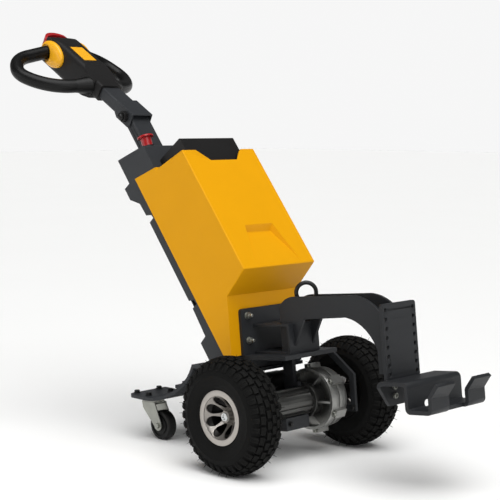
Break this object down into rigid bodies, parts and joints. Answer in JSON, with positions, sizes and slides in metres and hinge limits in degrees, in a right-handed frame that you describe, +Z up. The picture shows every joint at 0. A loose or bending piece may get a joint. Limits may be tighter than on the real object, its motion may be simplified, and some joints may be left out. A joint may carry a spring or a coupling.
{
  "type": "electric tow tractor",
  "caption": "Walk-behind electric tow tractor with a slanted battery cover, pneumatic drive wheels, rear swivel casters, folding tiller and a gooseneck hitch with a hook bracket.",
  "frame": {"origin": "on the floor, at the centre of the bounding box", "axes": "+X towards the tow hitch, +Y across to the left drive wheel, +Z up"},
  "size_m": [1.4502, 0.5162, 1.0576],
  "materials": {
    "grey_paint": "fine textured powder coat",
    "yellow_paint": "semi-gloss powder coat",
    "black_paint": "satin",
    "black_plastic": "moulded, fine grain",
    "red_plastic": "gloss",
    "yellow_plastic": "satin gloss",
    "grip_black": "satin soft-touch coat",
    "cast_alloy": "as cast, tumbled",
    "wheel_alloy": "cast, machined lip",
    "bright_steel": "turned",
    "zinc_steel": "zinc plated, pressed",
    "tyre_rubber": "matt rubber",
    "caster_rubber": "satin rubber tread"
  },
  "bodies": {
    "chassis": {"back_frame": "grey_paint", "back_panel": "grey_paint", "cover": "yellow_paint", "battery": "black_plastic", "battery_shelf": "grey_paint", "mast": "grey_paint", "mast_foot": "grey_paint", "stop_base": "black_plastic", "stop_cap": "red_plastic", "rear_plate": "grey_paint", "mount_plate": "grey_paint", "gear_case": "cast_alloy", "motor": "black_paint", "axle_bracket_left": "grey_paint", "axle_bracket_right": "grey_paint", "gooseneck": "grey_paint", "cross_channel": "grey_paint", "tow_plate": "grey_paint", "lifting_ring": "black_paint", "tow_bracket": "grey_paint", "caster_plate_right": "zinc_steel", "caster_plate_left": "zinc_steel"},
    "drive_wheel_right": {"tyre_right": "tyre_rubber", "rim_right": "wheel_alloy", "shaft_right": "bright_steel"},
    "drive_wheel_left": {"tyre_left": "tyre_rubber", "rim_left": "wheel_alloy", "shaft_left": "bright_steel"},
    "caster_swivel_right": {"caster_fork_right": "zinc_steel"},
    "caster_swivel_left": {"caster_fork_left": "zinc_steel"},
    "caster_roller_right": {"caster_wheel_right": "caster_rubber"},
    "caster_roller_left": {"caster_wheel_left": "caster_rubber"},
    "tiller": {"tiller_sleeve": "grey_paint", "tiller_arm": "grey_paint", "pivot_bolt": "black_plastic", "console": "black_plastic", "handle_loop_right": "grip_black", "handle_loop_left": "grip_black", "throttle_right": "yellow_plastic", "throttle_left": "yellow_plastic", "reverse_button": "red_plastic", "label_plate": "yellow_plastic"}
  },
  "joints": [
    {"name": "drive_wheel_right_spin", "type": "hinge", "parent": "chassis", "child": "drive_wheel_right", "pos_m": [0.22772, -0.21, 0.1375], "axis": [0, 1, 0], "continuous": true},
    {"name": "caster_right_swivel", "type": "hinge", "parent": "chassis", "child": "caster_swivel_right", "pos_m": [-0.18328, -0.083, 0.1], "axis": [0, 0, 1], "continuous": true},
    {"name": "caster_right_roll", "type": "hinge", "parent": "caster_swivel_right", "child": "caster_roller_right", "pos_m": [-0.14728, -0.083, 0.0375], "axis": [0, 1, 0], "continuous": true},
    {"name": "drive_wheel_left_spin", "type": "hinge", "parent": "chassis", "child": "drive_wheel_left", "pos_m": [0.22772, 0.21, 0.1375], "axis": [0, 1, 0], "continuous": true},
    {"name": "caster_left_swivel", "type": "hinge", "parent": "chassis", "child": "caster_swivel_left", "pos_m": [-0.18328, 0.083, 0.1], "axis": [0, 0, 1], "continuous": true},
    {"name": "caster_left_roll", "type": "hinge", "parent": "caster_swivel_left", "child": "caster_roller_left", "pos_m": [-0.14728, 0.083, 0.0375], "axis": [0, 1, 0], "continuous": true},
    {"name": "tiller_fold", "type": "hinge", "parent": "chassis", "child": "tiller", "pos_m": [-0.34625, 0, 0.82126], "axis": [0, 1, 0], "range_deg": [-60, 20]}
  ]
}
